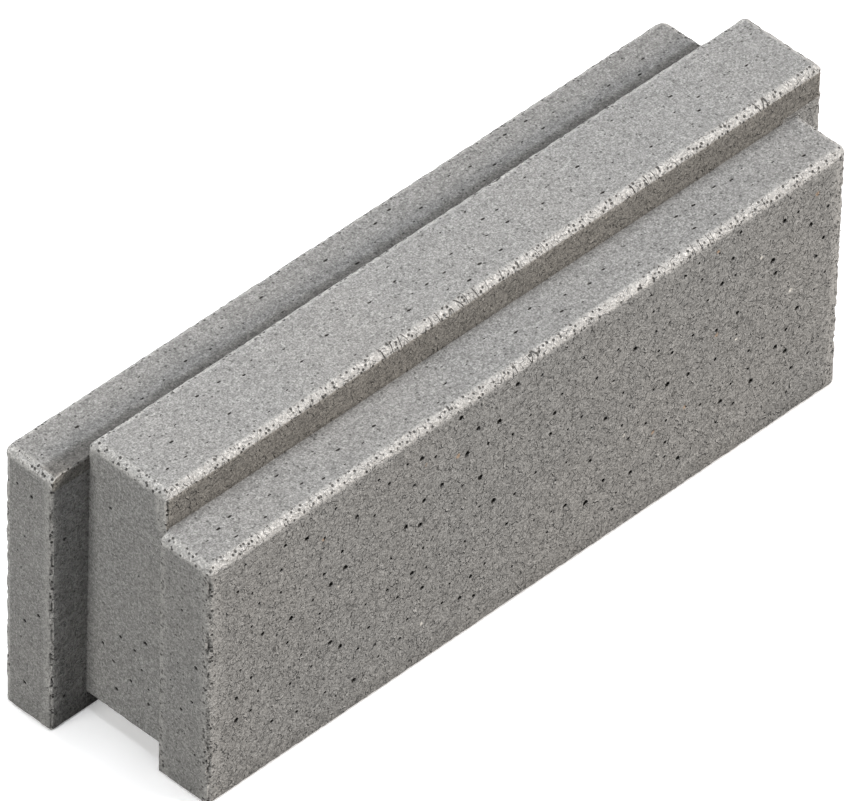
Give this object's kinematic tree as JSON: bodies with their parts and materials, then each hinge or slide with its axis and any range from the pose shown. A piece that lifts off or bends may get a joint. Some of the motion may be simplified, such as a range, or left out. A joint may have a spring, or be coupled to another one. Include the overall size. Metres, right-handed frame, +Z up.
{
  "type": "fly ash interlocking brick",
  "caption": "Grey fly ash interlocking brick: one pressed block of three staggered wythes with a ridge, a tongue, a bed groove and an end recess.",
  "frame": {"origin": "centre of the underside of the block's box, on the level floor the block stands on", "axes": "+X along the course towards the tongue, +Y towards the back face, +Z up"},
  "size_m": [0.3146, 0.082, 0.117],
  "materials": {
    "fly_ash": "matte, fine-grained, pitted"
  },
  "bodies": {
    "root": {"interlocking_brick": "fly_ash"}
  },
  "joints": []
}
